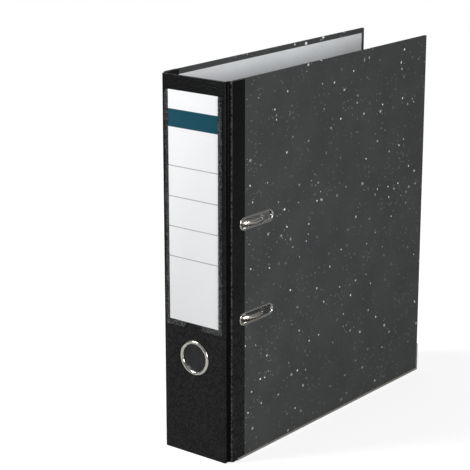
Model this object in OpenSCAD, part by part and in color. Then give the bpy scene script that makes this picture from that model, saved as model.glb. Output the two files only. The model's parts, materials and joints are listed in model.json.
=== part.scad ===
// Lever arch file for A4 paper, standing on the bottom edges of its covers.
// Dimensions are worked out from the back cover's outer face (x), the spine's
// outer face (y) and the bottom (z). place() then centres the file on its origin.
// +X: front cover, -X: back cover with the mechanism, -Y: spine, +Z: up.

/* [File] */
// Thickness of the closed file over its two covers
spine_w = 70; // [66:1:72]
// Depth of a cover, spine face to fore-edge
cover_d = 285; // [275:1:295]
// Height of the covers and the spine
file_h = 318; // [312:1:324]

/* [Boards and papers] */
// Thickness of the grey board core
board_t = 2.0; // [1.6:0.1:2.4]
// Thickness of each glued paper
paper_t = 0.3; // [0.2:0.05:0.4]
// Width of outer paper turned in around the inner edges
turn_in = 4; // [3:0.5:6]
// Width of the spine paper that wraps onto each cover
wrap_w = 21; // [16:1:26]

/* [Creases] */
// Step along the spine between the fold lines of a crease
crease_x = 2.9; // [2.6:0.1:3.4]
// Step along the depth between the fold lines of a crease
crease_y = 5.5; // [5:0.1:6.5]
// Thickness of the creased strip
crease_t = 0.9; // [0.6:0.1:1.2]

/* [Label pocket] */
// Width of the welded pocket
pocket_w = 58; // [54:1:60]
// Width of the label card
label_w = 51; // [48:1:53]
// Height of the label card
label_h = 191; // [180:1:192]
// Height of the pocket's open top edge
pocket_top = 306; // [302:1:308]
// Height of the pocket's bottom edge
pocket_bottom = 110; // [104:1:112]
// Radius of the half-round thumb notch in the pocket's bottom edge
notch_r = 8.5; // [7:0.5:9]

/* [Finger ring] */
// Height of the finger hole's centre
ring_z = 85.5; // [80:0.5:90]
// Diameter of the finger hole
ring_bore = 23.6; // [22:0.2:25]
// Outer diameter of the finger ring
ring_d = 29.6; // [28:0.2:32]

/* [Cover slots] */
// Overall length of a slot's metal rim
slot_l = 44; // [42:0.5:46]
// Overall height of a slot's metal rim
slot_w = 11; // [10:0.5:12]
// Distance from the spine face to the near end of the rim
slot_y = 15; // [14:0.5:16]
// Width of the rim's flange
rim_w = 1.6; // [1.2:0.1:2]
// How far the slots sit above the middle of the arches
slot_lift = 1.5; // [0:0.1:1.6]

/* [Mechanism] */
// Distance between the two arches and the two posts
pitch = 80; // [80]
// Height of the middle of the mechanism
mech_z = 159.5; // [158:0.5:163]
// Diameter of the bent arch wire
wire_d = 4; // [3.6:0.1:4]
// Angle of the closed lever below the cover's normal
lever_lean = 38; // [36:1:40]
// Length of the lever from its pivot to the rolled tip
lever_l = 48; // [44:1:50]
// Radius of the roller that works the crank
roller_r = 3.5; // [3.4:0.1:3.5]

/* [Hidden] */
$fn = 64;

eps = 0.01;
cover_t = board_t + 2 * paper_t;
nose_r = cover_t / 2;
rail_t = 0.4;
rail_lip = 2.2;
rail_rise = 26;
rail_start = 12;
skin_z0 = rail_t;
board_z0 = skin_z0 + paper_t;

// fold lines: the cover's bead and the spine's bead, for the back side
cover_fold = [nose_r, nose_r + crease_y];
spine_fold = [nose_r + crease_x, nose_r];
fold_gap = 0.08;

// the arches with their posts, and the slots a little above them
arch_zs = [mech_z - pitch / 2, mech_z + pitch / 2];
slot_zs = [for (z = arch_zs) z + slot_lift];
slot_mid = slot_y + slot_l / 2;
rim_t = 0.6;
barrel_t = 0.5;
hole_l = slot_l - 2 * rim_w + 2 * barrel_t;
hole_w = slot_w - 2 * rim_w + 2 * barrel_t;

// mechanism, in the plane of the covers' thickness (x) and depth (y)
plate_t = 1;
plate_x = cover_t + plate_t;
plate_y = [12, 63];
plate_hz = 62;
wire_r = wire_d / 2;
run = 0.05;
hinge = [plate_x + wire_r + 0.1, 20];
post_y = 57;
arch_r = (post_y - hinge[1]) / 2;
arch_top = spine_w + 1;
arch_x = arch_top - wire_r - arch_r;
arch_end_x = arch_x - 2.8;
post_r = 2.2;
post_top = arch_end_x - 0.2;
crank_l = 17;
crank_hz = 16;
spring_hz = 5;
pivot = [21, 44];
pivot_r = 2;
roller_dir = -20;
roller_off = wire_r + roller_r + 0.15;
roller_at = [hinge[0] + roller_off * cos(roller_dir),
             hinge[1] + crank_l + roller_off * sin(roller_dir)];
roller_hz = 5.4;
pin_r = 1.2;
cheek_t = 1.2;
cheek_z = 5.8;
ear_t = 1.4;
ear_z = 7.4;
lever_t = 1.4;
lever_hz = cheek_z + cheek_t;
tip_r = 3.2;
tip_lift = 6;
rivet_r = 1.6;
rivet_yz = [[17, -54], [58, -54], [17, 54], [58, 54]];
rivet_head_r = 4;
rivet_head_t = 0.8;

// spine
label_t = 0.35;
film_t = 0.3;
pocket_gap = 0.1;
pocket_t = film_t + label_t + 2 * pocket_gap;
label_z0 = pocket_top - label_h;
ring_lip = 1.2;
ring_wall = 0.8;
spine_mid = spine_w / 2;

// the file's own box, for centring it
x_low = -rivet_head_t;
x_high = arch_top;
y_low = -ring_lip;
y_high = cover_d;

module place() {
  translate([-(x_low + x_high) / 2, -(y_low + y_high) / 2, 0]) children();
}

// mirrors a back-side shape to the front cover's side
module to_front() {
  translate([spine_w, 0, 0]) mirror([1, 0, 0]) children();
}

// lifts a plan drawing (x, y) to a solid between two heights
module plan(z0, z1) {
  translate([0, 0, z0]) linear_extrude(z1 - z0) children();
}

// a rod along +X, from x0 to x1
module rod_x(x0, x1, y, z, r) {
  translate([x0, y, z]) rotate([0, 90, 0]) cylinder(h = x1 - x0, r = r);
}

// a rod along +Y, from y0 to y1
module rod_y(y0, y1, x, z, r) {
  translate([x, y0, z]) rotate([-90, 0, 0]) cylinder(h = y1 - y0, r = r);
}

// a rod along +Z, from z0 to z1
module rod_z(z0, z1, at, r) {
  translate([at[0], at[1], z0]) cylinder(h = z1 - z0, r = r);
}

// a quarter bend of round wire: its two ends point along the first two axes given
module wire_corner(r_bend, r_wire) {
  rotate_extrude(angle = 90) translate([r_bend, 0]) circle(r = r_wire);
}

// the outline of a board end: round nose at the fold line, then straight to y_end
module nosed_strip(r, y_end) {
  translate(cover_fold) circle(r = r);
  translate([cover_fold[0] - r, cover_fold[1]]) square([2 * r, y_end - cover_fold[1]]);
}

// the stadium-shaped hole of both slots, cut along X
module slot_cut(len, wid, x0, x1) {
  for (z = slot_zs)
    translate([x0, slot_mid, z]) rotate([90, 0, 90]) linear_extrude(x1 - x0) stadium(len, wid);
}

module stadium(len, wid) {
  square([len - wid, wid], center = true);
  for (s = [-1, 1])
    translate([s * (len - wid) / 2, 0]) circle(d = wid);
}

module rivet_holes() {
  for (p = rivet_yz)
    rod_x(-1, plate_x + 1, p[0], mech_z + p[1], rivet_r);
}

// ---- a cover's glued layers, drawn on the back side ----

module cover_board() {
  plan(board_z0, file_h - paper_t) nosed_strip(board_t / 2, cover_d - rail_t - paper_t);
}

// cloud paper: outer face, three edges and the turned-in margin
module cover_cloud_paper() {
  y0 = wrap_w;
  y1 = cover_d - rail_t;
  difference() {
    translate([0, y0, skin_z0]) cube([cover_t, y1 - y0, file_h - skin_z0]);
    translate([paper_t, y0 - 1, board_z0])
      cube([board_t, y1 - y0 + 1 - paper_t, file_h - paper_t - board_z0]);
    translate([cover_t - paper_t - eps, y0 - 1, board_z0 + turn_in])
      cube([1, y1 - y0 + 1 - turn_in, file_h - board_z0 - 2 * turn_in]);
  }
}

// spine paper: wraps from the fold's bead onto the cover, outside and inside
module cover_spine_wrap() {
  difference() {
    plan(skin_z0, file_h) nosed_strip(nose_r, wrap_w);
    plan(board_z0, file_h - paper_t) nosed_strip(board_t / 2, wrap_w + 1);
  }
}

// lining sheet, level with the turned-in margin
module cover_lining() {
  translate([cover_t - paper_t, wrap_w, board_z0 + turn_in])
    cube([paper_t, cover_d - rail_t - turn_in - wrap_w, file_h - board_z0 - 2 * turn_in]);
}

// U-shaped metal rail under the bottom edge and around the lower fore-edge corner
module edge_rail() {
  difference() {
    union() {
      translate([-rail_t, rail_start, 0])
        cube([cover_t + 2 * rail_t, cover_d - rail_start, rail_lip]);
      translate([-rail_t, cover_d - rail_lip, 0])
        cube([cover_t + 2 * rail_t, rail_lip, rail_rise]);
    }
    translate([0, rail_start - 1, rail_t])
      cube([cover_t, cover_d - rail_start + 1 - rail_t, rail_rise]);
  }
}

// creased strip between the cover's bead and the spine's bead
module crease() {
  plan(skin_z0, file_h) difference() {
    d = spine_fold - cover_fold;
    l = norm(d);
    translate(cover_fold) rotate(atan2(d[1], d[0]))
      translate([0, -crease_t / 2]) square([l, crease_t]);
    for (at = [cover_fold, spine_fold])
      translate(at) circle(r = nose_r + fold_gap);
  }
}

// ---- back cover ----

module back_board() {
  color("tan") place() difference() {
    cover_board();
    rivet_holes();
  }
}

module back_cloud_paper() {
  color("#46484a") place() difference() {
    cover_cloud_paper();
    rivet_holes();
  }
}

module back_spine_wrap() {
  color("#1c1c1d") place() difference() {
    cover_spine_wrap();
    rivet_holes();
  }
}

module back_lining() {
  color("#c4c6c8") place() difference() {
    cover_lining();
    rivet_holes();
  }
}

module back_edge_rail() {
  color("silver") place() edge_rail();
}

// ---- mechanism fixed to the back cover ----

module base_plate() {
  color("#c9c9c6") place() difference() {
    translate([cover_t, plate_y[0], mech_z - plate_hz])
      cube([plate_t, plate_y[1] - plate_y[0], 2 * plate_hz]);
    rivet_holes();
    // lightening windows between the arches and the posts
    for (s = [-1, 1])
      translate([cover_t - 1, 30, mech_z + s * 34 - 8]) cube([plate_t + 2, 20, 16]);
    // window that holds the leaf spring
    translate([cover_t - 1, 24, mech_z - spring_hz - 0.3])
      cube([plate_t + 2, 17, 2 * spring_hz + 0.6]);
  }
}

module plate_rivets() {
  color("silver") place() for (p = rivet_yz) {
    z = mech_z + p[1];
    rod_x(0, plate_x, p[0], z, rivet_r);
    rod_x(-rivet_head_t, 0, p[0], z, rivet_head_r);
    rod_x(plate_x, plate_x + rivet_head_t, p[0], z, rivet_head_r);
  }
}

module post(z) {
  difference() {
    union() {
      rod_x(plate_x, post_top, post_y, z, post_r);
      rod_x(plate_x, plate_x + 1.2, post_y, z, 3.6);
    }
    rod_x(post_top - 3, post_top + 1, post_y, z, 1.3);
  }
}

module lower_post() {
  color("#d8d6cf") place() post(arch_zs[0]);
}

module upper_post() {
  color("#d8d6cf") place() post(arch_zs[1]);
}

// saddle clips that hold the arch wire down on the plate
module wire_clip(z0, z1) {
  plan(z0, z1) difference() {
    union() {
      translate(hinge) circle(r = wire_r + run + 1);
      translate([plate_x, hinge[1] - 3.05]) square([wire_r + 0.1, 6.1]);
      translate([plate_x, hinge[1] - 7]) square([0.8, 14]);
    }
    translate(hinge) circle(r = wire_r + run);
    translate([plate_x - 1, hinge[1] - wire_r - run]) square([wire_r + 1.1, wire_d + 2 * run]);
    translate([plate_x - 5, hinge[1] - 10]) square([5, 20]);
  }
}

module wire_clips() {
  color("#bdbdb8") place() for (s = [-1, 1])
    wire_clip(mech_z + s * 27 - 4, mech_z + s * 27 + 4);
}

// two ears that carry the lever's pivot
module lever_bracket() {
  color("#bdbdb8") place() difference() {
    union() {
      translate([plate_x, pivot[1] - 3, mech_z - ear_z - ear_t])
        cube([1, 13, 2 * (ear_z + ear_t)]);
      for (s = [-1, 1])
        translate([0, 0, mech_z + s * (ear_z + ear_t / 2)]) plan(-ear_t / 2, ear_t / 2) {
          translate(pivot) circle(r = 4.2);
          polygon([[plate_x, pivot[1] - 3], [plate_x, pivot[1] + 10],
                   [pivot[0], pivot[1] + 4.2], [pivot[0], pivot[1] - 4.2],
                   [pivot[0] - 8, pivot[1] - 3]]);
        }
    }
    rod_z(mech_z - 20, mech_z + 20, pivot, pivot_r);
  }
}

module lever_pivot_pin() {
  color("silver") place() {
    hz = ear_z + ear_t;
    rod_z(mech_z - hz, mech_z + hz, pivot, pivot_r);
    for (s = [-1, 1])
      translate([pivot[0], pivot[1], mech_z + s * (hz + 0.4) - 0.4]) cylinder(h = 0.8, r = 3);
  }
}

// leaf spring in the plate's window, pressed flat by the crank's cross bar
module leaf_spring() {
  x0 = cover_t;
  x1 = plate_x;
  color("#8f8f8a") place() plan(mech_z - spring_hz, mech_z + spring_hz)
    polygon([[x0, 24.3], [x0 + 0.4, 24.3], [x1, 36], [x1, 40.5],
             [x1 - 0.5, 40.5], [x1 - 0.5, 36.5], [x0, 28]]);
}

// ---- creases ----

module back_crease() {
  color("#161617") place() crease();
}

module front_crease() {
  color("#161617") place() to_front() crease();
}

// ---- spine ----

module spine_bar(r, z0, z1) {
  plan(z0, z1) {
    for (x = [spine_fold[0], spine_w - spine_fold[0]])
      translate([x, nose_r]) circle(r = r);
    translate([spine_fold[0], nose_r - r]) square([spine_w - 2 * spine_fold[0], 2 * r]);
  }
}

module ring_hole(r) {
  rod_y(-2, cover_t + 2, spine_mid, ring_z, r);
}

module spine_board() {
  color("tan") place() difference() {
    spine_bar(board_t / 2, board_z0, file_h - paper_t);
    ring_hole(ring_bore / 2 + ring_wall);
  }
}

module spine_paper() {
  color("#1c1c1d") place() difference() {
    spine_bar(nose_r, skin_z0, file_h);
    spine_bar(board_t / 2, board_z0, file_h - paper_t);
    translate([spine_fold[0], cover_t - paper_t - eps, board_z0 + turn_in])
      cube([spine_w - 2 * spine_fold[0], 1, file_h - board_z0 - 2 * turn_in]);
    ring_hole(ring_bore / 2 + ring_wall);
  }
}

module spine_lining() {
  color("#c4c6c8") place() difference() {
    translate([spine_fold[0], cover_t - paper_t, board_z0 + turn_in])
      cube([spine_w - 2 * spine_fold[0], paper_t, file_h - board_z0 - 2 * turn_in]);
    ring_hole(ring_bore / 2 + ring_wall);
  }
}

// two flanges joined by the barrel that passes through the spine
module finger_ring() {
  color("silver") place() difference() {
    union() {
      rod_y(-ring_lip, 0, spine_mid, ring_z, ring_d / 2);
      rod_y(0, cover_t, spine_mid, ring_z, ring_bore / 2 + ring_wall);
      rod_y(cover_t, cover_t + 0.6, spine_mid, ring_z, ring_d / 2 - 0.8);
    }
    ring_hole(ring_bore / 2);
  }
}

module thumb_notch() {
  rod_y(-pocket_t - 1, 1, spine_mid, pocket_bottom, notch_r);
}

// welded edges of the pocket: both sides and the bottom, cut by the thumb notch
module pocket_border() {
  side = (pocket_w - label_w - 2 * pocket_gap) / 2;
  color("#2a2b2c") place() difference() {
    translate([spine_mid - pocket_w / 2, -pocket_t, pocket_bottom])
      cube([pocket_w, pocket_t, pocket_top - pocket_bottom]);
    translate([spine_mid - pocket_w / 2 + side, -pocket_t - 1, label_z0 - pocket_gap])
      cube([pocket_w - 2 * side, pocket_t + 2, label_h + 2]);
    thumb_notch();
  }
}

module pocket_window() {
  color("#d5dadd", 0.4) place() difference() {
    translate([spine_mid - label_w / 2 - pocket_gap, -pocket_t, label_z0 - pocket_gap])
      cube([label_w + 2 * pocket_gap, film_t, label_h + pocket_gap]);
    thumb_notch();
  }
}

module label_card() {
  color("white") place()
    translate([spine_mid - label_w / 2, -pocket_gap - label_t, label_z0])
      cube([label_w, label_t, label_h]);
}

// ---- front cover ----

module front_board() {
  color("tan") place() to_front() difference() {
    cover_board();
    slot_cut(hole_l, hole_w, -1, cover_t + 1);
  }
}

module front_cloud_paper() {
  color("#46484a") place() to_front() difference() {
    cover_cloud_paper();
    slot_cut(hole_l, hole_w, -1, cover_t + 1);
  }
}

module front_spine_wrap() {
  color("#1c1c1d") place() to_front() difference() {
    cover_spine_wrap();
    slot_cut(hole_l, hole_w, -1, cover_t + 1);
  }
}

module front_lining() {
  color("#c4c6c8") place() to_front() difference() {
    cover_lining();
    slot_cut(hole_l, hole_w, -1, cover_t + 1);
  }
}

module front_edge_rail() {
  color("silver") place() to_front() edge_rail();
}

// metal rim of a slot: outer flange, barrel and rolled inner lip
module slot_rim(z) {
  translate([0, slot_mid, z]) rotate([90, 0, 90]) difference() {
    union() {
      translate([0, 0, -rim_t]) linear_extrude(rim_t) stadium(slot_l, slot_w);
      linear_extrude(cover_t) stadium(hole_l, hole_w);
      translate([0, 0, cover_t]) linear_extrude(0.4) stadium(slot_l - 1, slot_w - 1);
    }
    translate([0, 0, -2]) linear_extrude(cover_t + 4)
      stadium(slot_l - 2 * rim_w, slot_w - 2 * rim_w);
  }
}

module lower_slot_rim() {
  color("silver") place() to_front() slot_rim(slot_zs[0]);
}

module upper_slot_rim() {
  color("silver") place() to_front() slot_rim(slot_zs[1]);
}

// ---- arch wire: two arches joined by the hinge rods and the crank ----

bend_r = 4;

// one arch, in the plane z = 0, from the hinge line to the free end over the post
module arch() {
  rod_x(hinge[0] + bend_r, arch_x, hinge[1], 0, wire_r);
  translate([arch_x, hinge[1] + arch_r, 0]) rotate(-90)
    rotate_extrude(angle = 180) translate([arch_r, 0]) circle(r = wire_r);
  rod_x(arch_end_x, arch_x, post_y, 0, wire_r);
}

// half of the wire, above the mechanism's middle
module wire_half() {
  translate([0, 0, pitch / 2]) arch();
  // bend from the arch down onto the hinge line
  translate([hinge[0] + bend_r, hinge[1], pitch / 2 - bend_r])
    rotate([90, 0, 0]) rotate(90) wire_corner(bend_r, wire_r);
  rod_z(crank_hz + bend_r, pitch / 2 - bend_r, hinge, wire_r);
  // bend from the hinge line into the crank's arm
  translate([hinge[0], hinge[1] + bend_r, crank_hz + bend_r])
    rotate([0, 90, 0]) rotate(-90) wire_corner(bend_r, wire_r);
  rod_y(hinge[1] + bend_r, hinge[1] + crank_l - bend_r, hinge[0], crank_hz, wire_r);
  // bend from the crank's arm into its cross bar
  translate([hinge[0], hinge[1] + crank_l - bend_r, crank_hz - bend_r])
    rotate([0, 90, 0]) rotate(90) wire_corner(bend_r, wire_r);
  rod_z(0, crank_hz - bend_r, [hinge[0], hinge[1] + crank_l], wire_r);
}

module arch_wire() {
  color("silver") place() translate([0, 0, mech_z]) {
    wire_half();
    mirror([0, 0, 1]) wire_half();
  }
}

// ---- lever ----

// carries a drawing made along the closed lever (u towards its tip) into place
module along_lever() {
  translate(pivot) rotate(-lever_lean) children();
}

module lever() {
  color("silver") place() difference() {
    union() {
      for (s = [-1, 1])
        translate([0, 0, mech_z + s * (cheek_z + cheek_t / 2)]) plan(-cheek_t / 2, cheek_t / 2) {
          translate(pivot) circle(r = 4);
          hull() {
            translate(pivot) circle(r = 3, $fn = 32);
            translate(roller_at) circle(r = 2.5, $fn = 32);
          }
          along_lever() polygon([[0, -4], [12, -3], [30, 2], [30, 4], [0, 4]]);
        }
      // the long arm's web
      plan(mech_z - lever_hz, mech_z + lever_hz) along_lever() {
        translate([2, 4 - lever_t]) square([32, lever_t]);
        polygon([[34, 4 - lever_t], [34, 4], [lever_l - 2, tip_lift + 0.7],
                 [lever_l - 2, tip_lift - 0.7]]);
      }
    }
    rod_z(mech_z - 20, mech_z + 20, pivot, pivot_r + run);
    rod_z(mech_z - 20, mech_z + 20, roller_at, pin_r);
    along_lever() translate([lever_l, tip_lift, mech_z - 20]) cylinder(h = 40, r = tip_r);
  }
}

module lever_tip() {
  color("#d8d6cf") place() along_lever()
    translate([lever_l, tip_lift, mech_z - lever_hz - 1]) cylinder(h = 2 * lever_hz + 2, r = tip_r);
}

module roller_pin() {
  color("silver") place() {
    rod_z(mech_z - lever_hz, mech_z + lever_hz, roller_at, pin_r);
  }
}

module roller() {
  color("#d8d6cf") place() difference() {
    rod_z(mech_z - roller_hz, mech_z + roller_hz, roller_at, roller_r);
    rod_z(mech_z - 20, mech_z + 20, roller_at, pin_r + run);
  }
}

back_board();
back_cloud_paper();
back_spine_wrap();
back_lining();
back_edge_rail();
base_plate();
plate_rivets();
lower_post();
upper_post();
wire_clips();
lever_bracket();
lever_pivot_pin();
leaf_spring();
back_crease();
spine_board();
spine_paper();
spine_lining();
finger_ring();
pocket_border();
pocket_window();
label_card();
front_crease();
front_board();
front_cloud_paper();
front_spine_wrap();
front_lining();
front_edge_rail();
lower_slot_rim();
upper_slot_rim();
arch_wire();
lever();
lever_tip();
roller_pin();
roller();
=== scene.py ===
"""Lever arch file: detailed pieces and finishes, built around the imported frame.

Places come from the frame's own boxes. Pieces are drawn in the file's own
millimetres: x from the back cover's outer face, y from the spine's outer face
and z from the bottom edge. A Layout carries them into the frame, in metres.
"""

import json
import logging
from collections.abc import Callable, Iterator, Sequence
from contextlib import contextmanager
from dataclasses import dataclass
from enum import Enum
from math import atan2, hypot, pi, radians
from typing import Any, ClassVar

import bmesh
import bpy
from mathutils import Matrix, Vector

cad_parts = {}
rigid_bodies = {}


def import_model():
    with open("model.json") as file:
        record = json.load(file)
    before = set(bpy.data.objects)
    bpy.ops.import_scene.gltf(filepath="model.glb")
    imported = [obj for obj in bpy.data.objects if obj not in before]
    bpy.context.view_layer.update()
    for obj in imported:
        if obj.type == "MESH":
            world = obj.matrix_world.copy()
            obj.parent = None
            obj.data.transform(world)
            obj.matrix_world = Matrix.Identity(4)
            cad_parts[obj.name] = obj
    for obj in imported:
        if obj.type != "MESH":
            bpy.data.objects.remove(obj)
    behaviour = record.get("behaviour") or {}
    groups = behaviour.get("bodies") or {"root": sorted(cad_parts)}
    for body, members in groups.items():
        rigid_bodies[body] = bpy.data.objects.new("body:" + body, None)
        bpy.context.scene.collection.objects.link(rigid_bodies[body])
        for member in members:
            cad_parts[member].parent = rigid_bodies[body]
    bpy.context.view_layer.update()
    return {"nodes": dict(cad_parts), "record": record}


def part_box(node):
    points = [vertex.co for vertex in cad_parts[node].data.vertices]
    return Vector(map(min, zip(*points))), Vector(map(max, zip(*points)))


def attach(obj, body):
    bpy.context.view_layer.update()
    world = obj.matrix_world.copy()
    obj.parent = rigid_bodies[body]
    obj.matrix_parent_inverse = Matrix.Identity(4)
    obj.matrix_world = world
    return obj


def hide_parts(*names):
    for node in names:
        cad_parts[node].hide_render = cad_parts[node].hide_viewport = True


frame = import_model()

LOG = logging.getLogger("lever_arch_file")
MM = 0.001
HAIR = 0.01 * MM
MERGE = 0.002 * MM
SLIVER = 0.001 * MM
FULL_ROUND = 0.998
SPECULAR = "Specular IOR Level"
Piece = bpy.types.Object
Material = bpy.types.Material
Color = tuple[float, float, float]
Point = tuple[float, float, float]
Outline = list[tuple[float, float]]


class Axis(Enum):
    """The direction that a turned piece is turned about."""

    X = 0
    Y = 1
    Z = 2

    @property
    def along(self) -> Vector:
        """Unit vector along the axis."""
        return Vector([1.0 if i == self.value else 0.0 for i in range(3)])

    @property
    def outward(self) -> Vector:
        """Unit vector square to the axis, where an outline is drawn."""
        return Vector([1.0 if i == (self.value + 1) % 3 else 0.0 for i in range(3)])


class Side(Enum):
    """Which cover a piece belongs to."""

    BACK = "back"
    FRONT = "front"


class Pick(Enum):
    """What kind of mesh element is selected."""

    VERT = "VERT"
    EDGE = "EDGE"
    FACE = "FACE"


def spans(axis: Axis, least: float = 0.1 * MM) -> Callable[[Vector, Vector], bool]:
    """A test for edges that reach further than a length along an axis."""
    return lambda a, b: abs(a[axis.value] - b[axis.value]) > least


# ---------------------------------------------------------------- node graphs


class Val:
    """A number that varies over a surface; sums on it add Math nodes."""

    def __init__(self, graph: "Graph", socket: bpy.types.NodeSocket) -> None:
        """Wrap one output socket of a graph."""
        self.graph = graph
        self.socket = socket

    def __add__(self, other: "Val | float") -> "Val":
        """Sum."""
        return self.graph.math("ADD", self, other)

    def __radd__(self, other: float) -> "Val":
        """Sum, with the number first."""
        return self.graph.math("ADD", other, self)

    def __sub__(self, other: "Val | float") -> "Val":
        """Difference."""
        return self.graph.math("SUBTRACT", self, other)

    def __rsub__(self, other: float) -> "Val":
        """Difference, with the number first."""
        return self.graph.math("SUBTRACT", other, self)

    def __mul__(self, other: "Val | float") -> "Val":
        """Product."""
        return self.graph.math("MULTIPLY", self, other)

    def __truediv__(self, other: "Val | float") -> "Val":
        """Quotient."""
        return self.graph.math("DIVIDE", self, other)

    def __pow__(self, other: float) -> "Val":
        """Power."""
        return self.graph.math("POWER", self, other)

    def rise(self, low: float, high: float) -> "Val":
        """Smooth step from 0 at low to 1 at high; low may be the larger."""
        inputs = {"Value": self, "From Min": low, "From Max": high}
        return self.graph.node("ShaderNodeMapRange", {"interpolation_type": "SMOOTHSTEP"}, inputs)

    def larger(self, other: "Val | float") -> "Val":
        """The larger of two values."""
        return self.graph.math("MAXIMUM", self, other)


class Graph:
    """A node tree that is built by expressions."""

    def __init__(self, tree: bpy.types.NodeTree) -> None:
        """Start with an empty tree, of a material or a world."""
        self.tree = tree
        self.tree.nodes.clear()

    @property
    def position(self) -> Val:
        """The object's own coordinates, in metres."""
        return self.node("ShaderNodeTexCoord", output="Object")

    def node(self, kind: str, settings: dict[str, Any] | None = None,
             inputs: dict[str | int, Any] | None = None, output: str | int = 0) -> Val:
        """Add any node.

        Args:
            kind: the node's type.
            settings: attributes that are set first; "stops" holds a ramp's (place, color) pairs.
            inputs: values or links of the node's sockets, by name or number.
            output: the socket to return.

        Returns:
            The chosen output.
        """
        made = self.tree.nodes.new(kind)
        for key, value in (settings or {}).items():
            if key == "stops":
                self._set_stops(made.color_ramp, value)
            else:
                setattr(made, key, value)
        for key, value in (inputs or {}).items():
            if isinstance(value, Val):
                self.tree.links.new(value.socket, made.inputs[key])
            else:
                made.inputs[key].default_value = value
        return Val(self, made.outputs[output])

    @staticmethod
    def _set_stops(ramp: bpy.types.ColorRamp, stops: Sequence[tuple[float, Color]]) -> None:
        """Fill a colour ramp.

        Args:
            ramp: the ramp, which starts with two stops.
            stops: (place, color) pairs.
        """
        while len(ramp.elements) < len(stops):
            ramp.elements.new(0.5)
        for element, (place, color) in zip(ramp.elements, stops):
            element.position = place
            element.color = (*color, 1.0)

    def math(self, operation: str, a: Val | float, b: Val | float) -> Val:
        """Add a Math node on two values."""
        return self.node("ShaderNodeMath", {"operation": operation}, {0: a, 1: b})

    def mix(self, share: Val | float, a: Val | Color, b: Val | Color) -> Val:
        """Mix two colours, from the first at a share of 0 to the second at 1."""
        inputs = {0: share, 6: self._rgba(a), 7: self._rgba(b)}
        return self.node("ShaderNodeMix", {"data_type": "RGBA"}, inputs, 2)

    @staticmethod
    def _rgba(color: Val | Color) -> Any:
        """A colour as a socket takes it."""
        return color if isinstance(color, Val) else (*color, 1.0)

    def mapped(self, stretch: Point = (1.0, 1.0, 1.0), turn: Point = (0.0, 0.0, 0.0)) -> Val:
        """Object coordinates, turned by angles in radians and stretched on each axis."""
        inputs = {"Vector": self.position, "Scale": stretch, "Rotation": turn}
        return self.node("ShaderNodeMapping", None, inputs)

    def noise(self, size: float, detail: float = 2.0, vector: Val | None = None,
              output: str = "Fac", distortion: float = 0.0) -> Val:
        """Cloudy noise.

        Args:
            size: size of the clouds, in metres.
            detail: number of finer layers.
            vector: coordinates, or None for the object's own.
            output: "Fac" or "Color".
            distortion: how far the clouds are swirled.

        Returns:
            The noise, around 0.5.
        """
        inputs = {"Vector": vector or self.position, "Scale": 1.0 / size,
                  "Detail": detail, "Distortion": distortion}
        return self.node("ShaderNodeTexNoise", None, inputs, output)

    def cells(self, size: float, vector: Val | None = None, output: str = "Distance",
              feature: str = "F1") -> Val:
        """Voronoi cells of a size in metres: the distance, or the cell's random colour."""
        inputs = {"Vector": vector or self.position, "Scale": 1.0 / size}
        return self.node("ShaderNodeTexVoronoi", {"feature": feature}, inputs, output)

    def wavy(self, amount: float, size: float, stretch: Point = (1.0, 1.0, 1.0)) -> Val:
        """Object coordinates pushed that far by waves of that size, in metres."""
        inputs = {0: self.noise(size, 1.0, output="Color"), 1: (amount, amount, amount),
                  2: self.mapped(stretch)}
        return self.node("ShaderNodeVectorMath", {"operation": "MULTIPLY_ADD"}, inputs, "Vector")

    def along(self, axis: Axis) -> Val:
        """One of the object coordinates, in metres."""
        return self.node("ShaderNodeSeparateXYZ", None, {0: self.position}, axis.value)

    def bump(self, height: Val, depth: float, strength: float = 1.0,
             under: Val | None = None) -> Val:
        """A bumped normal.

        Args:
            height: relief, 0 to 1.
            depth: height of the relief, in metres.
            strength: share of the effect.
            under: normal of a coarser relief.

        Returns:
            The normal.
        """
        inputs: dict[str | int, Any] = {"Height": height, "Distance": depth,
                                        "Strength": strength}
        if under is not None:
            inputs["Normal"] = under
        return self.node("ShaderNodeBump", None, inputs, "Normal")

    def finish(self, shader: Val, kind: str) -> None:
        """Link the last shader to a new output node of that kind."""
        made = self.tree.nodes.new(kind)
        self.tree.links.new(shader.socket, made.inputs["Surface"])


class Surface(Graph):
    """The graph of one material."""

    def __init__(self, name: str) -> None:
        """Start an empty material."""
        self.material = bpy.data.materials.new(name)
        self.material.use_nodes = True
        super().__init__(self.material.node_tree)

    def principled(self, color: Val, rough: Val | float, relief: Val | None = None,
                   others: dict[str, Any] | None = None) -> Material:
        """Finish the material with one Principled shader.

        Args:
            color: base colour.
            rough: roughness.
            relief: bumped normal, or None for a flat one.
            others: values or links of the shader's other sockets, by name.

        Returns:
            The material.
        """
        inputs = {"Base Color": color, "Roughness": rough, **(others or {})}
        if relief is not None:
            inputs["Normal"] = relief
        shader = self.node("ShaderNodeBsdfPrincipled", None, inputs)
        self.finish(shader, "ShaderNodeOutputMaterial")
        return self.material


# ------------------------------------------------------------------- finishes


@dataclass(frozen=True)
class SpeckLayer:
    """One size of light specks in the cloud paper."""

    cell: float
    radius: float
    strength: float
    stretch: Point


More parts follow.
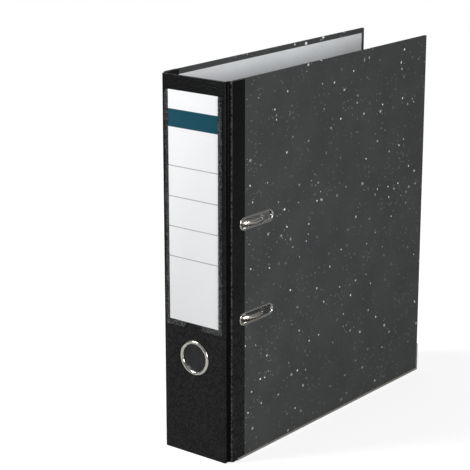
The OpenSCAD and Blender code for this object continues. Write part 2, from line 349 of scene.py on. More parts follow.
@dataclass(frozen=True)
class CloudPaper:
    """Matt charcoal paper with light fibre specks in loose clusters."""

    slot: str = "cloud_paper"
    dark: Color = (0.046, 0.049, 0.050)
    light: Color = (0.062, 0.065, 0.065)
    speck: Color = (0.86, 0.88, 0.88)
    specular: float = 0.22
    cloud_size: float = 0.035
    cluster_size: float = 0.020
    fibre_size: float = 0.0006
    layers: tuple[SpeckLayer, ...] = (
        SpeckLayer(0.0105, 0.00140, 20.0, (1.0, 0.8, 0.95)),
        SpeckLayer(0.0058, 0.00106, 11.0, (1.0, 0.85, 0.85)),
        SpeckLayer(0.0036, 0.00070, 0.45, (1.0, 0.75, 1.1)),
    )

    def build(self) -> Material:
        """Make the material."""
        graph = Surface(self.slot)
        clouds = graph.noise(self.cloud_size, 3.0).rise(0.3, 0.7)
        fine = graph.noise(self.fibre_size, 2.0)
        base = graph.mix(clouds * 0.6 + fine * 0.4, self.dark, self.light)
        cluster = graph.noise(self.cluster_size, 2.0, distortion=0.8).rise(0.42, 0.62)
        specks: Val | float = 0.0
        for layer in self.layers:
            specks = self._specks(graph, layer, cluster).__add__(specks)
        color = graph.mix(graph.math("MINIMUM", specks, 1.0), base, self.speck)
        grain = graph.bump(fine, 0.00003, 0.5)
        tooth = graph.bump(graph.noise(0.0025, 3.0), 0.00006, 0.35, grain)
        rough = graph.noise(0.004, 2.0) * 0.12 + 0.6
        return graph.principled(color, rough, tooth, {SPECULAR: self.specular})

    @staticmethod
    def _specks(graph: Graph, layer: SpeckLayer, cluster: Val) -> Val:
        """Strength of one layer of specks.

        Args:
            graph: the material's graph.
            layer: size and strength.
            cluster: where specks gather, 0 to 1.

        Returns:
            The specks, 0 to the layer's strength.
        """
        where = graph.wavy(layer.radius * 1.1, layer.radius * 1.6, layer.stretch)
        distance = graph.cells(layer.cell, where)
        chance = graph.node("ShaderNodeSeparateColor", None,
                            {0: graph.cells(layer.cell, where, "Color")})
        edge = layer.radius / layer.cell
        body = distance.rise(edge, edge * 0.6)
        return body * (chance ** 4.5 * 0.995 + 0.005) * (cluster * 0.85 + 0.15) * layer.strength


@dataclass(frozen=True)
class PaintedLight:
    """A band of painted light on the black paper: painted highlights along beads and top edges, and
    painted light growing towards the bottom.
    """

    axis: Axis
    start: float
    full: float
    strength: float = 1.0


@dataclass(frozen=True)
class GrainedPaper:
    """Black paper embossed with a fine leather grain."""

    # painted light: painted highlights along beads and top edges, and painted light growing towards
    # the bottom
    painted_lights: tuple[PaintedLight, ...] = ()
    slot: str = "spine_paper"
    base: Color = (0.0020, 0.0022, 0.0024)
    crest: Color = (0.0095, 0.0100, 0.0100)
    # colour towards which the painted light lifts the black paper
    scuff_and_highlight: Color = (0.16, 0.16, 0.157)
    roughness: float = 0.38
    specular: float = 0.11
    grain: float = 0.0023
    depth: float = 0.00028

    def build(self) -> Material:
        """Make the material."""
        graph = Surface(self.slot)
        where = graph.wavy(self.grain * 0.8, self.grain * 1.5)
        pebble = graph.cells(self.grain, where, feature="SMOOTH_F1")
        crease = graph.cells(self.grain * 1.7, where, feature="DISTANCE_TO_EDGE").rise(0.0, 0.12)
        fine = graph.noise(self.grain * 0.3, 2.0)
        height = (1.0 - pebble) * 0.7 + crease * 0.3
        wear = graph.noise(0.03, 3.0).rise(0.35, 0.75)
        color = graph.mix(height * 0.5 + wear * 0.25, self.base, self.crest)
        # Painted light: each band lifts the paper towards the highlight colour, broken up by patchy
        # noise into a dotted painted highlight.
        painted_light: Val | float = 0.0
        for spot in self.painted_lights:
            mask = graph.along(spot.axis).rise(spot.start, spot.full) * spot.strength
            painted_light = mask.larger(painted_light)
        if isinstance(painted_light, Val):
            patchy = graph.noise(0.0019, 2.0).rise(0.40, 0.60)
            color = graph.mix(painted_light * (patchy * 0.85 + 0.15), color, self.scuff_and_highlight)
        relief = graph.bump(height, self.depth, 0.8, graph.bump(fine, self.depth * 0.2, 0.4))
        rough = self.roughness + fine * 0.1 - wear * 0.04
        return graph.principled(color, rough, relief, {SPECULAR: self.specular})


@dataclass(frozen=True)
class LiningPaper:
    """Pale grey lining paper with faint fibres."""

    slot: str = "lining"
    base: Color = (0.76, 0.775, 0.79)
    fibre: Color = (0.60, 0.615, 0.63)
    specular: float = 0.25
    fibre_size: float = 0.0021
    tone_size: float = 0.05

    def build(self) -> Material:
        """Make the material."""
        graph = Surface(self.slot)
        threads = graph.cells(self.fibre_size, graph.wavy(0.002, 0.003, (1.0, 1.0, 0.25)),
                              feature="DISTANCE_TO_EDGE").rise(0.05, 0.0)
        tone = graph.noise(self.tone_size, 3.0).rise(0.3, 0.75)
        color = graph.mix(threads * 0.35 + tone * 0.25, self.base, self.fibre)
        tooth = graph.bump(graph.noise(0.0007, 3.0), 0.00003, 0.5)
        rough = 0.68 + graph.noise(0.003, 2.0) * 0.15
        return graph.principled(color, rough, tooth, {SPECULAR: self.specular})


@dataclass(frozen=True)
class BrightNickel:
    """Polished nickel plate with hairline scratches."""

    slot: str = "nickel"
    base: Color = (0.80, 0.775, 0.73)
    worn: Color = (0.70, 0.665, 0.61)
    roughness: float = 0.13
    scratch_size: float = 0.0011
    cross_size: float = 0.0009
    haze_size: float = 0.006

    def build(self) -> Material:
        """Make the material."""
        graph = Surface(self.slot)
        hair = graph.noise(self.scratch_size, 3.0, graph.mapped((1.0, 7.0, 0.5), (0.4, 0.2, 0.3)))
        cross = graph.noise(self.cross_size, 3.0, graph.mapped((6.0, 0.5, 1.0), (0.1, 0.5, 0.9)))
        scratch = hair.rise(0.58, 0.72).larger(cross.rise(0.62, 0.74))
        haze = graph.noise(self.haze_size, 3.0).rise(0.35, 0.75)
        color = graph.mix(haze * 0.6 + scratch * 0.2, self.base, self.worn)
        rough = self.roughness + haze * 0.07 + scratch * 0.12
        relief = graph.bump(scratch, 0.000008, 0.4, graph.bump(graph.noise(0.003), 0.00002, 0.3))
        return graph.principled(color, rough, relief, {"Metallic": 1.0})


@dataclass(frozen=True)
class PlateSteel:
    """Pressed steel with a dull rolled plating."""

    slot: str = "plate_steel"
    base: Color = (0.62, 0.615, 0.60)
    stain: Color = (0.47, 0.462, 0.445)
    roll_size: float = 0.0012
    cloud_size: float = 0.009
    spot_size: float = 0.004

    def build(self) -> Material:
        """Make the material."""
        graph = Surface(self.slot)
        rolled = graph.noise(self.roll_size, 3.0, graph.mapped((1.0, 4.0, 0.15)))
        cloud = graph.noise(self.cloud_size, 4.0).rise(0.35, 0.7)
        spot = graph.cells(self.spot_size, graph.wavy(0.002, 0.003)).rise(0.16, 0.05)
        color = graph.mix(cloud * 0.5 + spot * 0.3, self.base, self.stain)
        rough = 0.24 + rolled * 0.16 + cloud * 0.08
        relief = graph.bump(rolled, 0.000012, 0.6)
        return graph.principled(color, rough, relief, {"Metallic": 1.0})


@dataclass(frozen=True)
class ClearFilm:
    """Thin clear plastic, slightly rippled and scuffed."""

    slot: str = "clear_film"
    tint: Color = (0.40, 0.42, 0.43)
    scuffed: Color = (0.60, 0.60, 0.60)
    specular: float = 0.5
    ripple_size: float = 0.02
    rub_size: float = 0.0008

    def build(self) -> Material:
        """Make the material."""
        graph = Surface(self.slot)
        ripple = graph.noise(self.ripple_size, 2.0, graph.mapped((1.0, 1.0, 0.35)))
        scuff_and_highlight = graph.noise(self.rub_size, 3.0, graph.mapped((1.0, 1.0, 0.1))).rise(0.55, 0.75)
        relief = graph.bump(ripple, 0.0003, 0.35)
        color = graph.mix(scuff_and_highlight, self.tint, self.scuffed)
        return graph.principled(color, 0.12 + scuff_and_highlight * 0.15, relief,
                                {"Alpha": 0.006 + scuff_and_highlight * 0.008, SPECULAR: self.specular})


@dataclass(frozen=True)
class WeldedFilm:
    """Film melted onto the spine: grey where it is knurled, dark between."""

    slot: str = "pocket_weld"
    clear: Color = (0.005, 0.0055, 0.006)
    crushed: Color = (0.17, 0.175, 0.175)
    specular: float = 0.25
    dot_size: float = 0.0011
    patch_size: float = 0.004

    def build(self) -> Material:
        """Make the material."""
        graph = Surface(self.slot)
        dots = graph.cells(self.dot_size, graph.wavy(0.0004, 0.001)).rise(0.62, 0.25)
        patch = graph.noise(self.patch_size, 3.0).rise(0.32, 0.66)
        color = graph.mix(dots * (patch * 0.55 + 0.45), self.clear, self.crushed)
        relief = graph.bump(dots, 0.00008, 0.7)
        rough = 0.3 + patch * 0.2
        return graph.principled(color, rough, relief, {SPECULAR: self.specular})


@dataclass(frozen=True)
class LabelPrint:
    """White card with one printed band and thin writing lines."""

    slot: str = "label_paper"
    card: Color = (0.93, 0.94, 0.95)
    card_fibre: Color = (0.87, 0.88, 0.89)
    band: Color = (0.0035, 0.064, 0.098)
    band_fibre: Color = (0.0050, 0.074, 0.110)
    rule: Color = (0.33, 0.35, 0.36)
    band_z: tuple[float, float] = (276.0, 290.6)
    rules_z: tuple[float, ...] = (244.3, 219.0, 194.0, 168.8)
    rule_t: float = 0.65
    blur: float = 0.1
    specular: float = 0.15
    fibre_size: float = 0.0008

    def build(self) -> Material:
        """Make the material."""
        graph = Surface(self.slot)
        height = graph.along(Axis.Z) / MM
        printed: Val | float = 0.0
        for z in self.rules_z:
            gap = graph.math("ABSOLUTE", height - z, 0.0)
            printed = gap.rise(self.rule_t * 0.6, self.rule_t * 0.4).__add__(printed)
        bottom, top = self.band_z
        band = height.rise(bottom - self.blur, bottom + self.blur)
        band = band * height.rise(top + self.blur, top - self.blur)
        fibre = graph.noise(self.fibre_size, 3.0)
        card = graph.mix(fibre * 0.15, self.card, self.card_fibre)
        ink_and_shade = graph.mix(fibre * 0.3, self.band, self.band_fibre)
        color = graph.mix(band, graph.mix(printed, card, self.rule), ink_and_shade)
        relief = graph.bump(fibre, 0.00002, 0.4)
        return graph.principled(color, 0.62 - band * 0.12, relief, {SPECULAR: self.specular})


@dataclass(frozen=True)
class Greyboard:
    """Recycled board core with flecks."""

    slot: str = "greyboard"
    base: Color = (0.26, 0.235, 0.20)
    fleck: Color = (0.12, 0.105, 0.09)
    fleck_size: float = 0.0022
    layer_size: float = 0.0005

    def build(self) -> Material:
        """Make the material."""
        graph = Surface(self.slot)
        flecks = graph.cells(self.fleck_size, graph.wavy(0.001, 0.002)).rise(0.28, 0.1)
        layers = graph.noise(self.layer_size, 3.0, graph.mapped((6.0, 1.0, 1.0)))
        color = graph.mix(flecks * 0.6 + layers * 0.3, self.base, self.fleck)
        relief = graph.bump(layers, 0.00005, 0.6)
        return graph.principled(color, 0.8 + layers * 0.15, relief)


@dataclass(frozen=True)
class FloorPaint:
    """Pale matt studio floor."""

    slot: str = "studio_floor"
    base: Color = (0.48, 0.48, 0.48)
    shade: Color = (0.45, 0.45, 0.45)
    glow: Color = (0.74, 0.74, 0.74)
    patch_size: float = 0.3
    specular: float = 0.1

    def build(self) -> Material:
        """Make the material."""
        graph = Surface(self.slot)
        color = graph.mix(graph.noise(self.patch_size, 2.0) * 0.1, self.base, self.shade)
        seen = graph.node("ShaderNodeLightPath", output="Is Camera Ray")
        glow = graph.mix(seen, (0.0, 0.0, 0.0), self.glow)
        return graph.principled(color, 0.9, None, {SPECULAR: self.specular, "Emission Color": glow,
                                                   "Emission Strength": 1.0})


# ---------------------------------------------------------------- hand tools


class Bench:
    """Blender's operators, each used on one piece at a time."""

    @staticmethod
    def hold(piece: Piece) -> None:
        """Make one piece the only selected and active one."""
        for other in bpy.context.view_layer.objects:
            other.select_set(False)
        piece.select_set(True)
        bpy.context.view_layer.objects.active = piece

    @contextmanager
    def editing(self, piece: Piece, pick: Pick = Pick.VERT) -> Iterator[None]:
        """Edit mode on one piece, with all of it selected.

        Args:
            piece: the mesh.
            pick: what is selected.
        """
        self.hold(piece)
        bpy.ops.object.mode_set(mode="EDIT")
        bpy.ops.mesh.select_mode(type=pick.value)
        bpy.ops.mesh.select_all(action="SELECT")
        yield
        bpy.ops.object.mode_set(mode="OBJECT")

    @staticmethod
    def choose(piece: Piece, pick: Pick, test: Callable[..., bool]) -> None:
        """Select by place, in edit mode.

        Args:
            piece: the mesh.
            pick: what is selected.
            test: takes a vertex's place, an edge's two ends, or a face's centre and normal.
        """
        bpy.ops.mesh.select_all(action="DESELECT")
        mesh = bmesh.from_edit_mesh(piece.data)
        if pick is Pick.VERT:
            found = [v for v in mesh.verts if test(v.co)]
        elif pick is Pick.EDGE:
            found = [e for e in mesh.edges if test(e.verts[0].co, e.verts[1].co)]
        else:
            found = [f for f in mesh.faces if test(f.calc_center_median(), f.normal)]
        for element in found:
            element.select_set(True)
        bmesh.update_edit_mesh(piece.data)

    @staticmethod
    def settle() -> None:
        """Put the active piece's place, turn and scale into its mesh."""
        bpy.ops.object.transform_apply(location=True, rotation=True, scale=True)

    def box(self, name: str, low: Vector, high: Vector) -> Piece:
        """A block between two corners.

        Args:
            name: the piece's name.
            low: one corner.
            high: the opposite corner.

        Returns:
            The block, with its place in its mesh.
        """
        bpy.ops.mesh.primitive_cube_add(size=1.0, location=(low + high) / 2)
        piece = bpy.context.object
        piece.name = name
        piece.scale = [abs(b - a) for a, b in zip(low, high)]
        self.hold(piece)
        self.settle()
        return piece

    def round_edges(self, piece: Piece, width: float, segments: int,
                    test: Callable[[Vector, Vector], bool]) -> None:
        """Bevel the edges that pass a test.

        Args:
            piece: the mesh.
            width: how far the bevel reaches, in metres.
            segments: number of strips.
            test: takes an edge's two ends.
        """
        with self.editing(piece, Pick.EDGE):
            self.choose(piece, Pick.EDGE, test)
            bpy.ops.mesh.bevel(offset=width, segments=segments, affect="EDGES")

    def cut(self, piece: Piece, *tools: Piece,
            operation: str = "DIFFERENCE") -> None:
        """Cut tools out of a piece, or join them to it, and clear them away.

        Args:
            piece: the mesh that is kept.
            tools: closed meshes that are used up.
            operation: the kind of boolean.
        """
        for tool in tools:
            modifier = piece.modifiers.new("cut", "BOOLEAN")
            modifier.operation = operation
            modifier.solver = "EXACT"
            modifier.object = tool
            self.hold(piece)
            bpy.ops.object.modifier_apply(modifier=modifier.name)
            bpy.data.objects.remove(tool)

    def soften(self, piece: Piece, width: float, segments: int = 2,
               angle: float = 38.0) -> None:
        """Break the sharp edges and shade the rest smooth.

        Args:
            piece: the mesh.
            width: width of the bevel, in metres; 0 for none.
            segments: number of strips.
            angle: edges sharper than this are bevelled, in degrees.
        """
        self.hold(piece)
        if width > 0.0:
            modifier = piece.modifiers.new("soften", "BEVEL")
            modifier.width = width
            modifier.segments = segments
            modifier.limit_method = "ANGLE"
            modifier.angle_limit = radians(angle)
            bpy.ops.object.modifier_apply(modifier=modifier.name)
        bpy.ops.object.shade_smooth_by_angle(angle=radians(angle))

    def lathe(self, name: str, outline: Outline, axis: Axis, centre: Vector,
              steps: int = 48) -> Piece:
        """Turn an outline about an axis.

        Args:
            name: the piece's name.
            outline: (radius, distance along the axis) pairs, in millimetres.
            axis: the axis's direction.
            centre: a point on the axis, from which distances are measured.
            steps: number of steps of the turn.

        Returns:
            The closed, turned piece.
        """
        points = [centre + (axis.outward * r + axis.along * h) * MM for r, h in outline]
        bpy.ops.mesh.primitive_plane_add(size=MM, location=points[0])
        piece = bpy.context.object
        piece.name = name
        self.hold(piece)
        self.settle()
        with self.editing(piece):
            bpy.ops.mesh.merge(type="CENTER")
            for start, end in zip(points, points[1:]):
                bpy.ops.mesh.extrude_region_move(
                    TRANSFORM_OT_translate={"value": end - start})
            bpy.ops.mesh.select_all(action="SELECT")
            bpy.ops.mesh.spin(steps=steps, angle=2 * pi, center=centre, axis=axis.along)
            bpy.ops.mesh.select_all(action="SELECT")
            bpy.ops.mesh.remove_doubles(threshold=MERGE)
            bpy.ops.mesh.dissolve_degenerate(threshold=SLIVER)
            bpy.ops.mesh.select_all(action="SELECT")
            bpy.ops.mesh.normals_make_consistent(inside=False)
        return piece

    def stretch(self, piece: Piece, axis: Axis, middle: float, half: float) -> None:
        """Part a round piece in the middle, so that it becomes a stadium.

        Args:
            piece: the mesh.
            axis: direction of the stretch.
            middle: place of its middle on that axis.
            half: how far each half moves.
        """
        for sign in (-1, 1):
            with self.editing(piece):
                self.choose(piece, Pick.VERT,
                            lambda co: (co[axis.value] - middle) * sign > 0)
                bpy.ops.transform.translate(value=axis.along * half * sign)

    def refine(self, name: str, node: str, width: float, angle: float = 38.0) -> Piece:
        """A merged copy of a frame node with its edges broken.

        Args:
            name: the new piece's name.
            node: the frame node.
            width: width of the bevel, in metres.
            angle: edges sharper than this are bevelled, in degrees.

        Returns:
            The piece.
        """
        piece = bpy.data.objects.new(name, frame["nodes"][node].data.copy())
        bpy.context.scene.collection.objects.link(piece)
        with self.editing(piece):
            bpy.ops.mesh.customdata_custom_splitnormals_clear()
            bpy.ops.mesh.remove_doubles(threshold=MERGE)
            bpy.ops.mesh.dissolve_limited(angle_limit=radians(1.0))
        self.soften(piece, width, 2, angle)
        return piece

    def join(self, pieces: list[Piece]) -> Piece:
        """Join several pieces into the first."""
        self.hold(pieces[0])
        for piece in pieces:
            piece.select_set(True)
        bpy.ops.object.join()
        return pieces[0]

    def copy(self, piece: Piece, name: str, shift: Vector) -> Piece:
        """A copy with a mesh of its own.

        Args:
            piece: the piece to copy.
            name: the copy's name.
            shift: how far the copy is moved.

        Returns:
            The copy, with its place in its mesh.
        """
        made = bpy.data.objects.new(name, piece.data.copy())
        bpy.context.scene.collection.objects.link(made)
        made.location = shift
        self.hold(made)
        self.settle()
        return made


class WireBender:
    """Bends one round wire, run by run, from one end to the other."""

    def __init__(self, bench: Bench, name: str, start: Vector, axis: Axis, radius: float,
                 sides: int = 20) -> None:
        """Clamp the wire's first section.

        Args:
            bench: the hand tools.
            name: the piece's name.
            start: centre of the first section.
            axis: direction of the first run.
            radius: the wire's radius, in metres.
            sides: number of sides of the section.
        """
        turn = axis.along.to_track_quat("Z", "Y").to_euler()
        bpy.ops.mesh.primitive_circle_add(vertices=sides, radius=radius, fill_type="NOTHING",
                                          location=start, rotation=turn)
        self.piece = bpy.context.object
        self.piece.name = name
        bench.hold(self.piece)
        bench.settle()
        bpy.ops.object.mode_set(mode="EDIT")
        bpy.ops.mesh.select_mode(type="EDGE")
        bpy.ops.mesh.select_all(action="SELECT")

    def run(self, step: Vector) -> None:
        """Feed a straight length, given as a vector."""
        bpy.ops.mesh.extrude_region_move(TRANSFORM_OT_translate={"value": step})

    def bend(self, centre: Vector, axis: Vector, angle: float, steps: int) -> None:
        """Bend right-handed about an axis through a centre, by an angle in radians."""
        bpy.ops.mesh.spin(steps=steps, angle=-angle, center=centre, axis=axis)

    def finish(self) -> Piece:
        """Close both ends and point the faces outwards."""
        bpy.ops.mesh.select_all(action="SELECT")
        bpy.ops.mesh.remove_doubles(threshold=MERGE)
        bpy.ops.mesh.fill_holes(sides=0)
        bpy.ops.mesh.select_all(action="SELECT")
        bpy.ops.mesh.normals_make_consistent(inside=False)
        bpy.ops.object.mode_set(mode="OBJECT")
        return self.piece


# -------------------------------------------------------------------- layout


@dataclass(frozen=True)
class Layout:
    """Where the file's own axes lie in the frame, and the sizes its pieces share."""

    origin: Vector
    spine_w: float
    depth: float
    height: float
    cover_t: float
    nose: float
    bottom: float
    fold: tuple[float, float]
    bead: tuple[float, float]
    wrap_w: float
    slot_mid: float
    slot_zs: tuple[float, float]
    arch_zs: tuple[float, float]
    ring_z: float

    @classmethod
    def from_frame(cls) -> "Layout":
        """Read the layout off the frame's boxes."""
        back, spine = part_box("back_cloud_paper"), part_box("spine_paper")
        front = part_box("front_cloud_paper")
        wrap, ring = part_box("back_spine_wrap"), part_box("finger_ring")
        slots = [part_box("lower_slot_rim"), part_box("upper_slot_rim")]
        posts = [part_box("lower_post"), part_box("upper_post")]
        origin = Vector((back[0].x, spine[0].y, 0.0))
        cover_t = (back[1].x - back[0].x) / MM
        nose = cover_t / 2
        fold_y = (wrap[0].y - origin.y) / MM + nose
        bead_x = (spine[0].x - origin.x) / MM + nose
        return cls(
            origin=origin,
            spine_w=(front[1].x - back[0].x) / MM,
            depth=(back[1].y - origin.y) / MM,
            height=back[1].z / MM,
            cover_t=cover_t,
            nose=nose,
            bottom=back[0].z / MM,
            fold=(nose, fold_y),
            bead=(bead_x, nose),
            wrap_w=(wrap[1].y - origin.y) / MM,
            slot_mid=(slots[0][0].y + slots[0][1].y) / 2 / MM - origin.y / MM,
            slot_zs=tuple((low.z + high.z) / 2 / MM for low, high in slots),
            arch_zs=tuple((low.z + high.z) / 2 / MM for low, high in posts),
            ring_z=(ring[0].z + ring[1].z) / 2 / MM,
        )

    def at(self, x: float, y: float, z: float, side: Side = Side.BACK) -> Vector:
        """A point in the frame, with x from that cover's outer face, in millimetres."""
        across = x if side is Side.BACK else self.spine_w - x
        return self.origin + Vector((across, y, z)) * MM


@dataclass
class Assembly:
    """What every sub-assembly shares: hand tools, layout and finished materials."""

    bench: Bench
    layout: Layout
    made: ClassVar[dict[str, Material]] = {}
    paper_t: ClassVar[float] = 0.3
    over: ClassVar[float] = 1.0
    turn_in: ClassVar[float] = 4.0
    lining_t: ClassVar[float] = 0.42
    fold_r: ClassVar[float] = 0.22
    lining_r: ClassVar[float] = 0.08
    slot_l: ClassVar[float] = 44.0
    slot_w: ClassVar[float] = 11.0

    def block(self, name: str, low: Point, high: Point, side: Side = Side.BACK) -> Piece:
        """A block between two corners in the file's own millimetres."""
        return self.bench.box(name, self.layout.at(*low, side), self.layout.at(*high, side))

    def material(self, finish: Any) -> Material:
        """The finish's material, made once."""
        key = repr(finish)
        if key not in self.made:
            self.made[key] = finish.build()
        return self.made[key]

    def dress(self, piece: Piece, finish: Any) -> None:
        """Give a piece its finish."""
        piece.data.materials.clear()
        piece.data.materials.append(self.material(finish))

    def install(self, piece: Piece, node: str, finish: Any) -> None:
        """Dress a piece and let it stand for a frame node, on that node's body.

        Args:
            piece: the finished mesh.
            node: the frame node.
            finish: the piece's finish.
        """
        self.dress(piece, finish)
        bodies = frame["record"]["behaviour"]["bodies"]
        body = next(name for name, nodes in bodies.items() if node in nodes)
        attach(piece, body)
        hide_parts(node)
        LOG.info("%s: %d faces, rides on %s", piece.name, len(piece.data.polygons), body)

    def fit(self, piece: Piece, node: str, finish: Any, width: float = 0.0,
            angle: float = 38.0) -> None:
        """Break the edges of a piece that are sharper than an angle, then install it."""
        self.bench.soften(piece, width, angle=angle)
        self.install(piece, node, finish)

    def top_highlight(self) -> PaintedLight:
        """A painted highlight along the top edge of the black paper."""
        top_z = self.layout.height * MM
        return PaintedLight(Axis.Z, top_z - 0.35 * MM, top_z, 0.5)

    def turned(self, name: str, node: str, end: Outline, steps: int = 40) -> None:
        """A solid round nickel piece along Z with the same shape at both ends.

        Args:
            name: the piece's name.
            node: the frame node that it stands for.
            end: outline of one end, as (radius, distance from the end).
            steps: number of steps of the turn.
        """
        low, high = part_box(node)
        half = (high.z - low.z) / 2 / MM
        upper = [(radius, half - inset) for radius, inset in end]
        outline = [(radius, -z) for radius, z in reversed(upper)] + upper
        piece = self.bench.lathe(name, outline, Axis.Z, (low + high) / 2, steps)
        self.fit(piece, node, BrightNickel(), angle=40)

    def keep(self, node: str, finish: Any) -> None:
        """Dress a frame node that stays as it is."""
        self.dress(frame["nodes"][node], finish)
        LOG.info("%s: kept from the frame", node)


# ------------------------------------------------------------------- covers


@dataclass
class Cover(Assembly):
    """One cover: board, cloud paper, spine wrap, lining and edge rail."""

    side: Side = Side.BACK
    edge_r: float = 0.55
    proud: float = 0.12
    lap: float = 0.5
    rail_r: float = 0.12
    rim_w: float = 1.1
    mitre: tuple[float, float] = (0.28, 0.09)

    def build(self) -> None:
        """Make every layer of the cover."""
        self.keep(f"{self.side.value}_board", Greyboard())
        self.cloud_paper()
        self.spine_wrap()
        self.lining()
        self.rail()

    def stadium(self, z: float) -> Piece:
        """A cutter for one slot.

        Args:
            z: height of the slot's middle.

        Returns:
            The closed tool.
        """
        radius = (self.slot_w - 2 * self.rim_w) / 2
        half = (self.slot_l - self.slot_w) / 2
        lay = self.layout
        centre = lay.at(lay.cover_t / 2, lay.slot_mid, z, self.side)
        reach = lay.cover_t
        outline = [(0, -reach), (radius, -reach), (radius, reach), (0, reach)]
        tool = self.bench.lathe("slot_tool", outline, Axis.X, centre, 66)
        self.bench.stretch(tool, Axis.Y, centre.y, half * MM)
        return tool

    def cut_openings(self, piece: Piece) -> None:
        """Cut the slots of the front cover or the rivet holes of the back one."""
        if self.side is Side.FRONT:
            tools = [self.stadium(z) for z in self.layout.slot_zs]
        else:
            tools = RivetPlan(self.bench, self.layout).tools()
        self.bench.cut(piece, *tools)

    def cloud_paper(self) -> None:
        """Outer face, three rounded edges and the turned-in margin of the paper."""
        lay = self.layout
        x1, y0, y1, z0, z1 = lay.cover_t, lay.wrap_w, lay.depth, lay.bottom, lay.height
        paper, over, margin = self.paper_t, self.over, self.turn_in + self.paper_t
        start = lay.at(0, y0, 0).y
        piece = self.block(f"{self.side.value}_cover_paper", (0, y0, z0), (x1, y1, z1), self.side)
        self.bench.round_edges(piece, self.edge_r * MM, 4,
                               lambda a, b: max(a.y, b.y) > start + MM)
        core = self.block("core", (paper, y0 - over, z0 + paper),
                          (x1 - paper, y1 - paper, z1 - paper), self.side)
        window = self.block("window", (x1 - 2 * paper, y0 - over, z0 + margin),
                            (x1 + over, y1 - margin, z1 - margin), self.side)
        self.bench.cut(piece, core, window, *self.mitres())
        self.cut_openings(piece)
        self.fit(piece, f"{self.side.value}_cloud_paper", CloudPaper())

    def mitres(self) -> list[Piece]:
        """Thin cutters for the mitred corners of the turned-in margin."""
        lay = self.layout
        tools = []
        for z, lean in ((lay.bottom, 45), (lay.height, -45)):
            centre = lay.at(lay.cover_t, lay.depth, z, self.side)
            half = Vector((*self.mitre, self.turn_in * 1.3)) * MM
            tool = self.bench.box("mitre", centre - half, centre + half)
            self.bench.hold(tool)
            bpy.ops.transform.rotate(value=radians(lean), orient_axis="X",
                                     center_override=centre)
            self.bench.settle()
            tools.append(tool)
        return tools

    def nosed(self, name: str, radius: float, low_z: float, high_z: float,
              end_y: float) -> Piece:
        """A slab whose end at the fold line is a full round.

        Args:
            name: the piece's name.
            radius: radius of the round end, half the slab's thickness.
            low_z: bottom of the slab.
            high_z: top of the slab.
            end_y: where the slab ends, away from the fold.

        Returns:
            The slab.
        """
        x, y = self.layout.fold
        piece = self.block(name, (x - radius, y - radius, low_z), (x + radius, end_y, high_z),
                           self.side)
        nose = self.layout.at(0, y - radius, 0).y
        self.bench.round_edges(
            piece, radius * FULL_ROUND * MM, 10,
            lambda a, b: max(a.y, b.y) < nose + HAIR and abs(a.z - b.z) > MM)
        return piece

    def spine_wrap(self) -> None:
        """Spine paper around the cover's bead, lapped over the cloud paper's edge."""
        lay = self.layout
        lap_y = lay.wrap_w + self.lap
        piece = self.nosed(f"{self.side.value}_hinge_wrap", lay.nose + self.proud,
                           lay.bottom, lay.height, lap_y)
        self.bench.round_edges(piece, self.fold_r * MM, 2,
                               lambda a, b: abs(a.z - b.z) < HAIR
                               and max(a.y, b.y) < lay.at(0, lap_y, 0).y - HAIR)
        core = self.nosed("core", lay.nose - self.paper_t, lay.bottom + self.paper_t,
                          lay.height - self.paper_t, lay.wrap_w + self.over)
        under = self.block("under", (0, lay.wrap_w, lay.bottom - self.over),
                           (lay.cover_t, lap_y + self.over, lay.height + self.over), self.side)
        self.bench.cut(piece, core, under)
        self.cut_openings(piece)
        self.fit(piece, f"{self.side.value}_spine_wrap", GrainedPaper(self.painted_lights()))

    def painted_lights(self) -> tuple[PaintedLight, ...]:
        """Where light is painted on the wrap: a painted highlight along its bead and its top edge,
        and painted light that grows towards the bottom.
        """
        lay = self.layout
        fold_y, top_z = lay.at(0, lay.fold[1], 0).y, lay.height * MM
        return (PaintedLight(Axis.Y, fold_y - 0.85 * MM, fold_y - 1.15 * MM, 0.6),
                self.top_highlight(),
                # painted light, paler towards the bottom
                PaintedLight(Axis.Z, top_z * 0.85, 0.0, 0.09))

    def lining(self) -> None:
        """Lining sheet, a little proud of the turned-in margin."""
        lay = self.layout
        margin = self.turn_in + self.paper_t
        x0 = lay.cover_t - self.paper_t
        piece = self.block(f"{self.side.value}_lining_sheet",
                           (x0, lay.wrap_w + self.lap, lay.bottom + margin),
                           (x0 + self.lining_t, lay.depth - margin, lay.height - margin),
                           self.side)
        self.cut_openings(piece)
        self.fit(piece, f"{self.side.value}_lining", LiningPaper(), self.lining_r * MM)

    def rail(self) -> None:
        """Folded metal rail under the cover and round its lower corner."""
        node = f"{self.side.value}_edge_rail"
        piece = self.bench.refine(f"{self.side.value}_rail", node, self.rail_r * MM)
        self.install(piece, node, BrightNickel())


